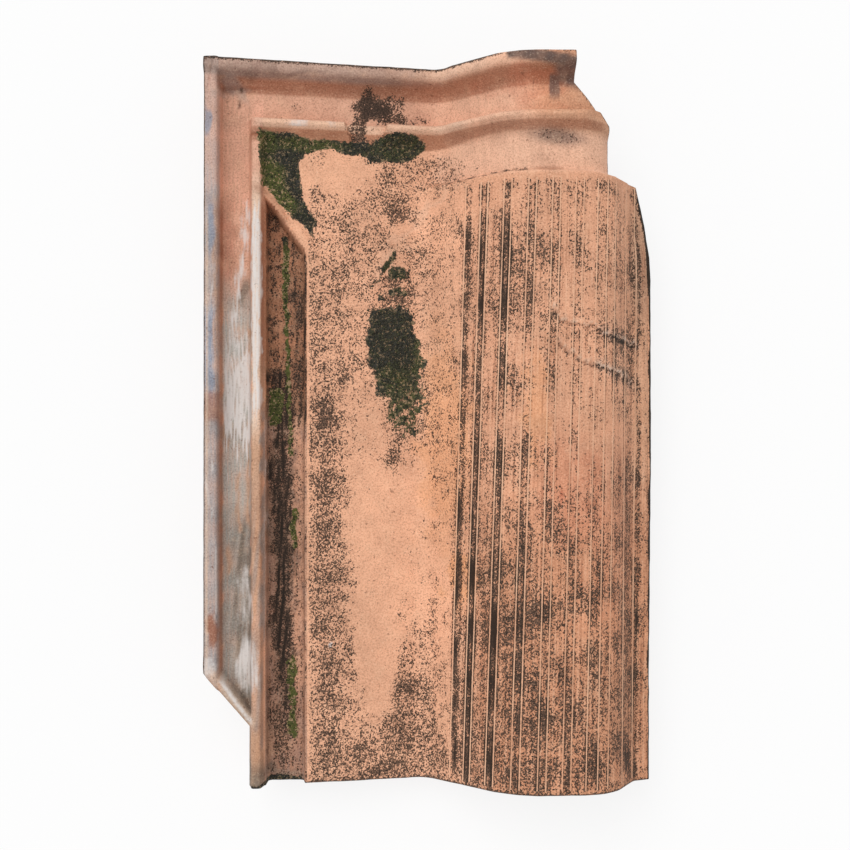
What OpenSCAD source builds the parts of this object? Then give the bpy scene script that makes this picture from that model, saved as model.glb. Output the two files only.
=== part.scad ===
// Interlocking clay roof tile with a sloping pan, a tall rounded roll and a double lock.
// X runs across the tile from the lock side to the roll, Y from the foot to the head, Z up.
// The section lies in x and z. Its heights count from the lowest line of the pan's upper face.

/* [Overall] */
// Width from the outer lock rib to the edge of the flange
tile_w = 265; // [255:1:330]
// Length from the foot to the head
tile_l = 430; // [400:1:520]
// Thickness of the clay
wall_t = 11; // [8.5:0.5:13.5]

/* [Pan] */
// Fall of the pan from the lock side to its low line, in degrees
pan_fall = 11.1; // [8:0.1:13]
// Distance from the left edge to where the pan meets the roll's flank
valley_x = 131; // [115:1:140]
// Radius of the hollow between the pan and the roll
valley_r = 14; // [10:1:18]

/* [Roll] */
// Height of the roll above the low line of the pan
roll_h = 55; // [46:1:66]
// Steepness of the roll's flank on the pan side, in degrees
roll_flank = 49; // [45:1:55]
// Steepness of the roll's wall on the flange side, in degrees
roll_wall = 61.8; // [58:0.1:70]
// Shoulder radius of the roll on the pan side
roll_r_pan = 45; // [38:1:48]
// Shoulder radius of the roll on the flange side
roll_r_flange = 30; // [28:1:33]
// Width of the flange beyond the roll's wall
flange_w = 10; // [7:0.5:14]
// Height of the flange's upper face where it leaves the wall
flange_z = 18; // [15:0.5:20]
// Fall of the flange's upper face to its edge
flange_fall = 4; // [2:0.5:6]
// Height of the flange's lower edge
flange_bottom = 6; // [4:0.5:8]

/* [Side lock] */
// Height of the lock channel's floor
lock_floor = 17; // [15:0.5:20]
// Width of the outer rib
outer_rib_w = 8; // [6:0.5:10]
// Height of the outer rib's top
outer_rib_top = 32; // [28:0.5:36]
// Distance from the left edge to the inner rib
inner_rib_x = 28; // [25:0.5:30]
// Width of the inner rib
inner_rib_w = 5; // [4:0.5:7]
// Height of the inner rib's top
inner_rib_top = 28; // [25:0.5:32]
// Slope of the ribs' flanks, as a run in x
rib_draft = 2; // [1:0.25:3]
// Edge radius of the ribs
rib_edge_r = 2; // [1:0.25:2.25]

/* [Drain channel] */
// Distance from the left edge to the pan's edge at the drain channel
drain_right = 60; // [54:0.5:66]
// Height of the drain channel's floor
drain_floor = 4; // [2:0.5:6]
// Radius at the bottom of the drain channel
drain_r = 4; // [2:0.5:5]
// Distance from the foot to the channel's closed end at the pan
drain_end_pan = 316; // [280:1:320]
// Distance from the foot to the channel's closed end at the inner rib
drain_end_rib = 353; // [330:1:356]
// Width of the ridge across the channel's closed end
ridge_w = 6; // [4:0.5:8]
// Height of that ridge above the pan
ridge_h = 3.5; // [2:0.5:6]

/* [Head lock] */
// Length of the neck and the head lock beyond the roll's step
neck_l = 70; // [66:1:80]
// Depth of the step from the roll down to the neck
neck_step = 8.5; // [7:0.5:9]
// Distance from the flange's edge to the neck's edge
neck_inset = 26; // [22:1:31]
// Distance from the flange's edge to the end of the head's edge
head_inset = 48; // [40:1:65]
// Length of the head's edge part, before the corner slopes out to the neck
head_corner_y = 17; // [12:1:22]
// Length of the sloping corner
head_corner_l = 24.5; // [18:0.5:28]
// Drop of the head channel's floor below the pan
channel_drop = 3; // [1:0.5:4]
// Height of the head ribs above the pan
head_rib_h = 9; // [7:0.5:10]
// Width of the rib along the head's edge, at its top
head_rib_w = 8; // [6:0.5:10]
// Run of the head rib's sloping side
head_rib_slope = 8; // [4:0.5:9]
// Distance from the head's edge to the back of the second rib
second_rib_y = 35; // [32:0.5:38]
// Width of the second rib at its top
second_rib_w = 4; // [4:0.5:7]
// Run of the second rib's sloping front
second_rib_slope = 10; // [6:0.5:11]
// Distance from the left edge to the gap in the second rib
rib_gap_x = 83; // [70:1:95]
// Width of the gap in the second rib, at its back
rib_gap_w = 25; // [18:1:28]
// Run of the gap's slanting ends, from back to front
rib_gap_slant = 4.5; // [2:0.5:6]
// Length over which the second rib runs out at the neck's edge
rib_fade_l = 17; // [12:1:20]
// Height of the second rib above the neck's edge, where it ends
rib_fade_h = 6; // [4:0.5:8]
// Size of the corner cut where the neck meets the flange
step_corner = 4; // [2:0.5:6]

/* [Foot and corners] */
// Width of the notch beside the foot
notch_w = 26; // [22:0.5:26]
// Length of the notch beside the foot
notch_l = 37; // [25:1:45]
// Length of the sloping corner above the notch
notch_corner_l = 31; // [20:1:40]
// Width of the rib along that corner
corner_rib_w = 6; // [4:0.5:8]
// Length of the curve at the flange's upper end
flange_curve_l = 38; // [25:1:50]
// Width that the curve takes off the flange
flange_curve_w = 7; // [4:0.5:9]

/* [Underside] */
// Depth of the lugs and the foot rib below the pan
lug_h = 10; // [8:0.5:14]
// Distance from the head's edge to the lugs' hanging face
lug_y = 33; // [30:1:33]
// Length of the lugs
lug_l = 14; // [10:1:18]
// Width of the lugs
lug_w = 26; // [18:1:28]
// Distance from the left edge to the outer lug
lug_x_outer = 44; // [38:1:52]
// Distance from the left edge to the inner lug
lug_x_inner = 116; // [108:1:120]
// Width of the foot rib
foot_rib_w = 52; // [40:1:56]
// Length of the foot rib
foot_rib_l = 10; // [6:1:14]
// Distance from the foot to the foot rib
foot_rib_y = 4; // [2:1:8]

/* [Hidden] */
lap = 10;
arc_step = 6;
clay = [0.86, 0.60, 0.46];
foot_level = -wall_t - lug_h;
neck_y = tile_l - neck_l;
second_y = tile_l - second_rib_y;
wall_x = tile_w - flange_w;
neck_w = tile_w - neck_inset;
head_w = tile_w - head_inset;
inner_rib_end = inner_rib_x + inner_rib_w;

// Vector helpers: a direction at an angle, and the point where two lines meet.
function dir(a) = [cos(a), sin(a)];
function cross2(u, v) = u.x * v.y - u.y * v.x;
function meet(p, a, q, b) = p + dir(a) * cross2(q - p, dir(b)) / cross2(dir(a), dir(b));
function unit(v) = v / norm(v);

// Lines of the section, each sunk by d at right angles to its face.
function pan_line(d) = [valley_x, 0] - d * dir(90 - pan_fall);
function flank_line(d) = [valley_x, 0] + d * dir(roll_flank - 90);
function crest_line(d) = [valley_x, roll_h - d];
function wall_line(d) = [wall_x, flange_z] - d * dir(90 - roll_wall);

// Corners of the section where those lines meet, and the height of the pan at x.
function valley(dp, dr) = meet(pan_line(dp), -pan_fall, flank_line(dr), roll_flank);
function shoulder_pan(d) = meet(flank_line(d), roll_flank, crest_line(d), 0);
function shoulder_flange(d) = meet(crest_line(d), 0, wall_line(d), -roll_wall);
function on_wall(d, z) = meet(wall_line(d), -roll_wall, [0, z], 0);
function wall_at(d, x) = meet(wall_line(d), -roll_wall, [x, 0], 90);
function pan_at(d, x) = meet(pan_line(d), -pan_fall, [x, 0], 90);
function corner(p, r) = [p.x, p.y, max(r, 0.5)];

// A rounded corner as [first tangent point, second tangent point, centre, radius, turn].
function xy(p) = [p.x, p.y];
function bend(a, q, b) =
    let (u = unit(xy(q) - xy(a)), v = unit(xy(b) - xy(q)))
    let (turn = atan2(cross2(u, v), u * v), r = q.z)
    let (t = r * tan(abs(turn) / 2), s = sign(turn))
    [xy(q) - t * u, xy(q) + t * v, xy(q) - t * u + s * r * [-u.y, u.x], r, turn, xy(q)];
function bends(c) =
    let (n = len(c))
    [for (i = [0 : n - 1]) bend(c[(i + n - 1) % n], c[i], c[(i + 1) % n])];

// The points of a rounded corner's arc, in finer steps where the radius is large.
function arc_steps(k) =
    let (n = max(1, ceil(abs(k[4]) / (k[3] > 8 ? arc_step : 4 * arc_step))), away = k[0] - k[2])
    k[3] == 0 ? [k[5]] : [for (i = [0 : n]) k[2] + k[3] * dir(atan2(away.y, away.x) + k[4] * i / n)];

// A closed outline of corners [x, y, radius].
module rounded_outline(corners) {
    polygon([for (k = bends(corners)) each arc_steps(k)]);
}

// The lock's upper face, from the left edge to the pan.
function lock_corners(drop, inner) = concat(
    [[0, lock_floor - wall_t, 2],
     [0, outer_rib_top, rib_edge_r],
     [outer_rib_w, outer_rib_top, rib_edge_r],
     [outer_rib_w + rib_draft, lock_floor, rib_edge_r]],
    inner
        ? [[inner_rib_x - rib_draft, lock_floor, rib_edge_r],
           [inner_rib_x, inner_rib_top, rib_edge_r],
           [inner_rib_end, inner_rib_top, rib_edge_r],
           corner(pan_at(drop, inner_rib_end + rib_draft), rib_edge_r)]
        : [corner(meet([0, lock_floor], 0, pan_line(drop), -pan_fall), 6)]);

// The roll's upper face, with its flange or with the plain edge of the neck.
function roll_corners(sink) = [
    corner(shoulder_pan(sink), roll_r_pan - sink),
    corner(shoulder_flange(sink), roll_r_flange - sink)];
flange_corners = [
    [wall_x, flange_z, 4],
    [tile_w, flange_z - flange_fall, rib_edge_r],
    [tile_w, flange_bottom, rib_edge_r],
    corner(on_wall(wall_t, flange_bottom), rib_edge_r)];
function neck_corners(sink) =
    let (edge = wall_at(sink, neck_w), low = edge.y - wall_t)
    [corner(edge, rib_edge_r),
     [neck_w, low, rib_edge_r],
     corner(on_wall(sink + wall_t, low), rib_edge_r)];

// The lower face, from the roll back to the left edge.
function under_corners(drop, sink) = [
    corner(shoulder_flange(sink + wall_t), roll_r_flange - sink - wall_t),
    corner(shoulder_pan(sink + wall_t), roll_r_pan - sink - wall_t),
    corner(valley(drop + wall_t, sink + wall_t), valley_r + wall_t),
    corner(pan_at(drop + wall_t, drain_right + wall_t), 4),
    [drain_right + 2, drain_floor - wall_t, 4],
    [inner_rib_end + rib_draft, drain_floor - wall_t, 4],
    [inner_rib_x, lock_floor - wall_t, 4]];

// Where the pan's faces end at the roll, which the neck's section shares.
function flat(p) = [p.x, p.y, 0];
pan_end = flat(bend(
    flat(pan_at(0, 0)),
    corner(valley(0, 0), valley_r),
    flat(shoulder_pan(0)))[0]);
pan_end_under = flat(bend(
    flat(shoulder_pan(wall_t)),
    corner(valley(wall_t, wall_t), valley_r + wall_t),
    flat(pan_at(wall_t, 0)))[1]);

// The whole section: drop sinks the pan, sink sinks the roll.
module section(drop, sink, inner, flange) {
    shared = drop == 0 && sink > 0;
    under = under_corners(drop, sink);
    rounded_outline(concat(
        lock_corners(drop, inner),
        shared ? [pan_end] : [],
        [corner(valley(drop, sink), valley_r)],
        roll_corners(sink),
        flange ? flange_corners : neck_corners(sink),
        [for (i = [0 : 2]) under[i]],
        shared ? [pan_end_under] : [],
        [for (i = [3 : len(under) - 1]) under[i]]));
}

// Runs a section along the tile from y0 to y1.
module along(y0, y1) {
    translate([0, y1, 0]) rotate([90, 0, 0]) linear_extrude(y1 - y0) children();
}

// The line that the head ribs follow: the neck's face, with its arcs in short steps.
rib_corners = [
    [-lap, pan_at(0, -lap).y, 0],
    corner(valley(0, neck_step), valley_r),
    corner(shoulder_pan(neck_step), roll_r_pan - neck_step),
    corner(shoulder_flange(neck_step), roll_r_flange - neck_step),
    corner(wall_at(neck_step, neck_w + lap), 0)];
rib_line = concat(
    [xy(rib_corners[0])],
    [for (i = [1 : 3]) each arc_steps(bend(rib_corners[i - 1], rib_corners[i], rib_corners[i + 1]))],
    [xy(rib_corners[4])]);

// The upward mitre at a point of that line, long enough to keep the sweep's faces flat.
function left_of(u) = [-u.y, u.x];
function mitre(line, i) =
    let (u = unit(line[max(i, 1)] - line[max(i, 1) - 1]))
    let (v = unit(line[min(i, len(line) - 2) + 1] - line[min(i, len(line) - 2)]))
    left_of(u + v) / (1 + u * v);

// Sweeps a rib's section, given as [y, height] points turning left, across the tile.
module sweep_across(rib) {
    n = len(rib_line);
    m = len(rib);
    points = [for (i = [0 : n - 1]) let (p = rib_line[i], up = mitre(rib_line, i))
        for (q = rib) [p.x + q.y * up.x, q.x, p.y + q.y * up.y]];
    sides = [for (i = [0 : n - 2]) for (j = [0 : m - 1])
        let (k = (j + 1) % m)
        [(i + 1) * m + j, (i + 1) * m + k, i * m + k, i * m + j]];
    first = [for (j = [0 : m - 1]) j];
    last = [for (j = [m - 1 : -1 : 0]) (n - 1) * m + j];
    polyhedron(points, concat([first], sides, [last]));
}

// The rib along the head's edge.
module head_rib() {
    inner = tile_l - head_rib_w;
    sweep_across([
        [inner - head_rib_slope, -lap],
        [tile_l + 1, -lap],
        [tile_l + 1, head_rib_h - 3],
        [tile_l, head_rib_h - 3],
        [tile_l - 1, head_rib_h - 1],
        [tile_l - 3, head_rib_h],
        [inner + 2, head_rib_h],
        [inner, head_rib_h - 1.5],
        [inner - head_rib_slope, -channel_drop]]);
}

// The second rib starts at the inner rib, leaves a gap for water and runs out at the neck's edge.
module second_rib() {
    crest = second_y - second_rib_w;
    front = crest - second_rib_slope;
    neck_crest = roll_h - neck_step + head_rib_h;
    difference() {
        sweep_across([
            [front, -lap],
            [second_y, -lap],
            [second_y, head_rib_h - 2],
            [second_y - 1.5, head_rib_h],
            [crest + 1, head_rib_h],
            [crest - 1, head_rib_h - 1.5],
            [front, -0.5]]);
        translate([0, 0, -tile_l]) linear_extrude(2 * tile_l) polygon([
            [rib_gap_x + rib_gap_slant, front - 1],
            [rib_gap_x + rib_gap_w - rib_gap_slant, front - 1],
            [rib_gap_x + rib_gap_w, second_y + 1],
            [rib_gap_x, second_y + 1]]);
        translate([-3 * lap, front - 1, -tile_l])
            cube([inner_rib_x + 3 * lap, second_y - front + 2, 2 * tile_l]);
        along(front - 1, second_y + 1) polygon([
            [neck_w - rib_fade_l, neck_crest],
            [neck_w, wall_at(neck_step, neck_w).y + rib_fade_h],
            [neck_w + 4 * lap, wall_at(neck_step, neck_w).y + rib_fade_h],
            [neck_w + 4 * lap, neck_crest + lap],
            [neck_w - rib_fade_l, neck_crest + lap]]);
    }
}

// A straight rib of width w from point a to point b, with its round top at those points.
module straight_rib(a, b, w, depth) {
    run = b - a;
    flat = norm([run.x, run.y]);
    translate(a) rotate([0, 0, atan2(run.y, run.x)]) rotate([0, -atan2(run.z, flat), 0])
        rotate([90, 0, 90]) linear_extrude(norm(run))
            rounded_outline([
                [-w / 2, -depth, 0.5],
                [-w / 2, 0, w * 0.4],
                [w / 2, 0, w * 0.4],
                [w / 2, -depth, 0.5]]);
}

// The ridge that closes the drain channel's upper end.
module end_ridge() {
    a = [inner_rib_x, drain_end_rib + ridge_w, pan_at(0, inner_rib_x).y + ridge_h];
    b = [drain_right + 2, drain_end_pan + ridge_w / 2, pan_at(0, drain_right + 2).y + ridge_h / 2];
    straight_rib(a, b, ridge_w, ridge_h + 4);
}

// The outer rib's turn along the sloping corner at the foot.
module corner_rib() {
    slope = unit([notch_w, -notch_corner_l]);
    inward = [-slope.y, slope.x] * corner_rib_w / 2;
    a = [0, notch_l + notch_corner_l] + inward - slope * corner_rib_w;
    b = [notch_w, notch_l] + inward + slope * 2;
    depth = outer_rib_top - lock_floor + 3;
    straight_rib([a.x, a.y, outer_rib_top], [b.x, b.y, inner_rib_top], corner_rib_w, depth);
}

// The drain channel between the inner rib and the pan's edge, closed by the slanting ridge.
module drain_cut() {
    left = inner_rib_end + rib_draft;
    intersection() {
        along(-1, tile_l) rounded_outline([
            [left + 1, drain_floor, drain_r],
            [left, outer_rib_top + lap, 1],
            [drain_right, outer_rib_top + lap, 1],
            [drain_right - 1, drain_floor, drain_r]]);
        translate([0, 0, foot_level]) linear_extrude(tile_l)
            polygon([[left - lap, -2], [left - lap, drain_end_rib + lap],
                     [inner_rib_end, drain_end_rib], [drain_right, drain_end_pan],
                     [drain_right + lap, drain_end_pan - lap], [drain_right + lap, -2]]);
    }
}

// Hanging lugs near the head and the rest rib at the foot, both down to one level.
module lug(x) {
    translate([x, tile_l - lug_y, foot_level])
        cube([lug_w, lug_l, pan_at(channel_drop + wall_t / 2, x + lug_w).y - foot_level]);
}
module foot_rib() {
    right = valley_x + 20;
    left = right - foot_rib_w;
    along(foot_rib_y, foot_rib_y + foot_rib_l) polygon([
        [left, foot_level],
        [left, pan_at(wall_t - 2, left).y],
        xy(valley(wall_t / 2, wall_t / 2)),
        [right, meet(flank_line(wall_t - 2), roll_flank, [right, 0], 90).y],
        [right, foot_level]]);
}

// Outline of the tile seen from above.
module plan() {
    rounded_outline([
        [0, notch_l + notch_corner_l, 1],
        [0, tile_l, 2],
        [head_w, tile_l, 2],
        [head_w, tile_l - head_corner_y, 3],
        [neck_w, tile_l - head_corner_y - head_corner_l, 3],
        [neck_w, neck_y + 1, 1],
        [neck_w + step_corner, neck_y + 1 - step_corner, 1],
        [tile_w - flange_curve_w, neck_y + 1 - step_corner, 2],
        [tile_w, neck_y - flange_curve_l, 60],
        [tile_w, 0, 1],
        [notch_w, 0, 1],
        [notch_w, notch_l, 2]]);
}

module roof_tile() {
    color(clay)
        translate([-tile_w / 2, -tile_l / 2, -foot_level])
            difference() {
                intersection() {
                    translate([0, 0, foot_level - lap]) linear_extrude(tile_l) plan();
                    union() {
                        along(0, neck_y) section(0, 0, true, true);
                        along(neck_y - lap, second_y) section(0, neck_step, true, false);
                        along(second_y - 1, tile_l)
                            section(channel_drop, neck_step + channel_drop, false, false);
                        head_rib();
                        second_rib();
                        end_ridge();
                        corner_rib();
                        lug(lug_x_outer);
                        lug(lug_x_inner);
                        foot_rib();
                    }
                }
                drain_cut();
            }
}

roof_tile();
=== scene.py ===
"""Weathered interlocking clay roof tile: its pressed shape, growth, stains and painted shade; a plain
stage.

Shapes are worked out in millimetres on the tile: x from the lock side to the flange, y from the
foot to the head, z from the pan's low line. They go into the meshes in metres, in the row frame.
"""
import math

import bmesh
import bpy
import numpy as np
from mathutils import Matrix


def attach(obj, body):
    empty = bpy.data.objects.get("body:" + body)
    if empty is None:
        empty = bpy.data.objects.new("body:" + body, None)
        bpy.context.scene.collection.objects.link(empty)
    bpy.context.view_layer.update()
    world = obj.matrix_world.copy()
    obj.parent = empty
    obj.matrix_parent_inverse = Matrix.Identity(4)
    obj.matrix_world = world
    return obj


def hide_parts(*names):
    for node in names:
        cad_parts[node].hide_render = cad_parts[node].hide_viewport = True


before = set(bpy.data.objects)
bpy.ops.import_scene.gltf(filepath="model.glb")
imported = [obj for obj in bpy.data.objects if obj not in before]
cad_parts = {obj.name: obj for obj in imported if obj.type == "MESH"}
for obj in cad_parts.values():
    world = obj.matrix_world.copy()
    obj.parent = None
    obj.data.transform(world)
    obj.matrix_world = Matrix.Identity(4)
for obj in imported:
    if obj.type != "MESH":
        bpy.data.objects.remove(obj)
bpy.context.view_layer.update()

# Sizes of the tile
MM = 0.001
TILE_W, TILE_L, WALL_T = 265.0, 430.0, 11.0
FOOT_LEVEL = -21.0
PAN_FALL, ROLL_FLANK, ROLL_WALL = (math.radians(a) for a in (11.1, 49.0, 61.8))
VALLEY_X, VALLEY_R = 131.0, 14.0
ROLL_H, ROLL_R_PAN, ROLL_R_FLANGE = 55.0, 45.0, 30.0
WALL_X, FLANGE_Z, FLANGE_EDGE_Z, FLANGE_BOTTOM = 255.0, 18.0, 14.0, 6.0
LOCK_FLOOR, OUTER_RIB_TOP, INNER_RIB_TOP = 17.0, 32.0, 28.0
DRAIN_LEFT, DRAIN_RIGHT, DRAIN_FLOOR, DRAIN_R = 35.0, 60.0, 4.0, 4.0
NECK_Y, NECK_STEP, NECK_W = 360.0, 8.5, 239.0
SECOND_Y, CHANNEL_DROP = 395.0, 3.0

# Ribs across the head, as (y, height over the neck's face)
HEAD_RIB = np.array([(410, -30), (414, -3), (417, 0), (421.5, 7.2), (423.5, 9), (427, 9), (429, 7.8),
                     (430, 5.5)])
SECOND_RIB = np.array([(377, -30), (381, -0.5), (386, 3.2), (390, 7.5), (391.5, 9), (393.5, 9),
                       (395, 7), (396, -3), (399, -30)])

# Gap in the second rib, the slant of its ends, and the line down which the rib runs out
GAP_LEFT, GAP_RIGHT, GAP_SLANT = 84.0, 107.0, 0.32
RUN_OUT_X, RUN_OUT_Z, RUN_OUT_FALL = 222.0, 55.5, 1.147

# Outline seen from above, as (y, x) of its left and right edges
LEFT_EDGE = np.array([(0, 26), (37, 26), (68, 0), (430, 0)])
RIGHT_EDGE = np.array([(0, 265), (60, 265.3), (120, 266.2), (200, 267.4), (300, 267.6), (314, 267.0),
                       (322, 265.8), (334, 263.4), (346, 260.6), (356.9, 258), (357.1, 243),
                       (361, 239), (388.5, 239), (413, 217), (430, 217)])
FLANGE_START = 245

# Lugs and foot rib below, as (x0, x1, y0, y1)
RESTS = [(44, 70, 397, 411), (116, 142, 397, 411), (99, 151, 4, 14)]

# The drain's slanting end, the ridge along it, and the rib at the foot's corner with its side's drops
DRAIN_END = ((33, 60), (353, 316))
RIDGE_LINE = [(30.5, 353.5), (38.3, 347), (47.5, 337.7), (55.9, 327), (64, 315.5)]
CORNER_LINE = [(-1.6, 74.5), (29.6, 37.4)]
CORNER_SIDE = ((0, 1.6, 2.6, 3.1, 5.2), (0, -0.3, -1.4, -3, -18))

# Small damage: a crack at the head's corner, a nick in the inner rib, and chips
HEAD_CRACK = [(6.3, 428), (4.5, 422), (2.7, 412)]
RIB_NICK = [(27, 385), (35.5, 383.5)]
CHIPS = [(21, 413), (20, 405), (207, 171), (48, 304), (176, 409), (190, 398)]

# Comb strokes on the roll: burrs as (place at the line COMB_Y, height), grooves as (start, end, depth,
# darkness of the growth in them), and how far each place leans to the left over COMB_RUN
COMB_Y, COMB_RUN, COMB_END = 330.0, 305.0, 356
BURR_HALF = 0.42
COMB_BURRS = np.array([
    (153.9, 0.6), (162.0, 0.55), (165.8, 0.55), (174.6, 0.5), (178.8, 0.55), (188.3, 0.5),
    (192.8, 0.5), (202.2, 0.4), (206.8, 0.45), (215.8, 0.45), (220.4, 0.45), (228.9, 0.4),
    (235.3, 0.4), (241.1, 0.35), (249.7, 0.4), (256.7, 0.45)])
COMB_GROOVES = np.array([
    (154.1, 157.4, 0.45, 1.0), (162.2, 165.6, 0.45, 0.9), (174.8, 178.6, 0.45, 0.85),
    (188.5, 192.6, 0.4, 0.4), (202.4, 206.6, 0.3, 0.28), (216.0, 220.2, 0.35, 0.36),
    (229.1, 235.1, 0.3, 0.26), (241.3, 249.5, 0.3, 0.22), (250.5, 255.8, 0.4, 0.5),
    (257.6, 259.8, 0.4, 0.8)])
COMB_LEAN = np.array([
    (118, 0), (140, 6.0), (154, 8.8), (165, 9.7), (177, 10.3), (190, 10.1), (204, 9.1), (218, 8.5),
    (232, 8.0), (245, 6.6), (257, 3.6), (264, 0)])

# Drag marks across the roll, as lines of (x, y), and how far below them their furrows run
TEARS = [[(202.5, 281), (206.5, 273.6), (218, 271.3), (227.6, 269.8), (233.3, 266), (248.5, 263),
          (257, 261)],
         [(205.3, 262), (209.9, 255.2), (215.1, 254.1), (219.1, 249.5), (230, 247.3), (236.5, 245.3),
          (248.4, 242.2), (254.6, 236.8)]]
FURROW = 1.7

rng = np.random.default_rng(41)


def unit(v):
    """Values kept from 0 to 1."""
    return np.clip(v, 0.0, 1.0)


def ramp(v, low, high):
    """Smooth step: 0 up to low, 1 from high, and a cubic between them."""
    t = unit((v - low) / (high - low))
    return t * t * (3.0 - 2.0 * t)


def fall(v, low, high):
    """Smooth step down: 1 up to low and 0 from high."""
    return 1.0 - ramp(v, low, high)


def window(v, low, high, soft):
    """1 between low and high, falling to 0 over soft on both sides."""
    return ramp(v, low - soft, low) * fall(v, high, high + soft)


def over(a, b, soft):
    """The higher of two surfaces, with their crease rounded by soft."""
    return 0.5 * (a + b + np.sqrt((a - b) ** 2 + soft * soft))


def under(a, b, soft):
    """The lower of two surfaces, with their crease rounded by soft."""
    return 0.5 * (a + b - np.sqrt((a - b) ** 2 + soft * soft))


def wander(x, y, size, seed):
    """Slow unevenness about -1 to 1: a sum of sines of about that size, in seeded directions."""
    draw = np.random.default_rng(seed)
    turn, phase = draw.uniform(0, 2 * np.pi, (2, 9))
    pitch = 2 * np.pi / (size * draw.uniform(0.6, 1.7, 9))
    along = np.multiply.outer(x, np.cos(turn)) + np.multiply.outer(y, np.sin(turn))
    return np.sin(along * pitch + phase).sum(-1) / 3.2


def stroke(x, y, points):
    """Least distance from the segments of the line through points."""
    p = np.asarray(points, float)
    a, d = p[:-1], np.diff(p, axis=0)
    u, v = x[..., None] - a[:, 0], y[..., None] - a[:, 1]
    t = unit((u * d[:, 0] + v * d[:, 1]) / (d * d).sum(1))
    return np.hypot(u - t * d[:, 0], v - t * d[:, 1]).min(-1)


def highest(parts):
    """The highest of some shares at each place."""
    return np.maximum.reduce(parts)


def brush(x, y, points, half):
    """A soft stroke: a bell of that half width about the line through points."""
    return np.exp(-(stroke(x, y, points) / half) ** 2)


def spot(x, y, cx, cy, rx, ry, turn=0.0, edge=0.5):
    """A soft ellipse: 1 in its middle and 0 outside, with edge as the soft share of its radius."""
    c, s = math.cos(math.radians(turn)), math.sin(math.radians(turn))
    u, v = (x - cx) * c + (y - cy) * s, (y - cy) * c - (x - cx) * s
    return fall(np.hypot(u / rx, v / ry), 1.0 - edge, 1.0 + edge * 0.5)


# Section of the tile

def pan_z(x, sunk=0.0):
    """Height of the pan's slope at x, sunk at right angles to it."""
    return (VALLEY_X - x) * math.tan(PAN_FALL) - sunk / math.cos(PAN_FALL)


def wall_z(x, sunk):
    """Height of the roll's outer wall at x, sunk at right angles to it."""
    return FLANGE_Z + (WALL_X - x) * math.tan(ROLL_WALL) - sunk / math.cos(ROLL_WALL)


def wall_x(z, sunk):
    """Where that wall has the height z."""
    return WALL_X + (FLANGE_Z - z - sunk / math.cos(ROLL_WALL)) / math.tan(ROLL_WALL)


def roll_corners(pan_sunk, roll_sunk, valley_r=VALLEY_R):
    """Valley and both shoulders as (x, z, radius): where the sunk pan, flank, crest and wall meet."""
    steep = math.tan(ROLL_FLANK) + math.tan(PAN_FALL)
    valley = VALLEY_X + (roll_sunk / math.cos(ROLL_FLANK) - pan_sunk / math.cos(PAN_FALL)) / steep
    crest = ROLL_H - roll_sunk
    near = VALLEY_X + (crest + roll_sunk / math.cos(ROLL_FLANK)) / math.tan(ROLL_FLANK)
    return [(valley, pan_z(valley, pan_sunk), valley_r),
            (near, crest, ROLL_R_PAN - roll_sunk),
            (wall_x(crest, roll_sunk), crest, max(ROLL_R_FLANGE - roll_sunk, 4.0))]


def rounded_line(corners, step=3.0):
    """A line through corners (x, z, radius), each inner corner turned into a tangent arc."""
    c = np.asarray(corners, float)
    line = [c[:1, :2]]
    for a, q, b in zip(c, c[1:], c[2:]):
        u, v = ((e - f)[:2] / np.hypot(*(e - f)[:2]) for e, f in ((q, a), (b, q)))
        turn = math.atan2(u[0] * v[1] - u[1] * v[0], u @ v)
        back = q[:2] - u * q[2] * math.tan(abs(turn) / 2)
        side = math.copysign(q[2], turn) * np.array((-u[1], u[0]))
        t = np.linspace(0, turn, max(2, math.ceil(abs(math.degrees(turn)) / step)))[:, None]
        line.append(back + side - side * np.cos(t) + u * q[2] * np.sin(np.abs(t)))
    return np.concatenate(line + [c[-1:, :2]])


def height(line, x):
    """Height of a section line at x."""
    return np.interp(x, line[:, 0], line[:, 1])


LOCK = [(0, 6, 0), (0, OUTER_RIB_TOP, 2), (8, OUTER_RIB_TOP, 2.5), (10, LOCK_FLOOR, 2.5),
        (26, LOCK_FLOOR, 2.5), (28, INNER_RIB_TOP, 2), (33, INNER_RIB_TOP, 2), (35, pan_z(35), 2)]
MAIN_LINE = rounded_line(LOCK + roll_corners(0, 0) + [
    (WALL_X, FLANGE_Z, 4), (TILE_W, FLANGE_EDGE_Z, 2), (TILE_W, FLANGE_BOTTOM, 0)])[1:-1]
NECK_EDGE = wall_z(NECK_W, NECK_STEP)
NECK_LINE = rounded_line(LOCK + roll_corners(0, NECK_STEP) + [
    (NECK_W, NECK_EDGE, 2), (NECK_W, NECK_EDGE - WALL_T, 0)])[1:-1]
RIB_LINE = rounded_line([(-10, pan_z(-10), 0)] + roll_corners(0, NECK_STEP) + [
    (TILE_W, wall_z(TILE_W, NECK_STEP), 0)])
OUTER_RIB = rounded_line(LOCK[:3] + [(10, LOCK_FLOOR, 1), (14, -40, 0)])[1:]
DRAIN_LINE = rounded_line([(DRAIN_LEFT - 1.5, 60, 0), (DRAIN_LEFT + 1.5, DRAIN_FLOOR, DRAIN_R),
                           (DRAIN_RIGHT - 2, DRAIN_FLOOR, DRAIN_R), (DRAIN_RIGHT + 1.5, 60, 0)])


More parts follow.
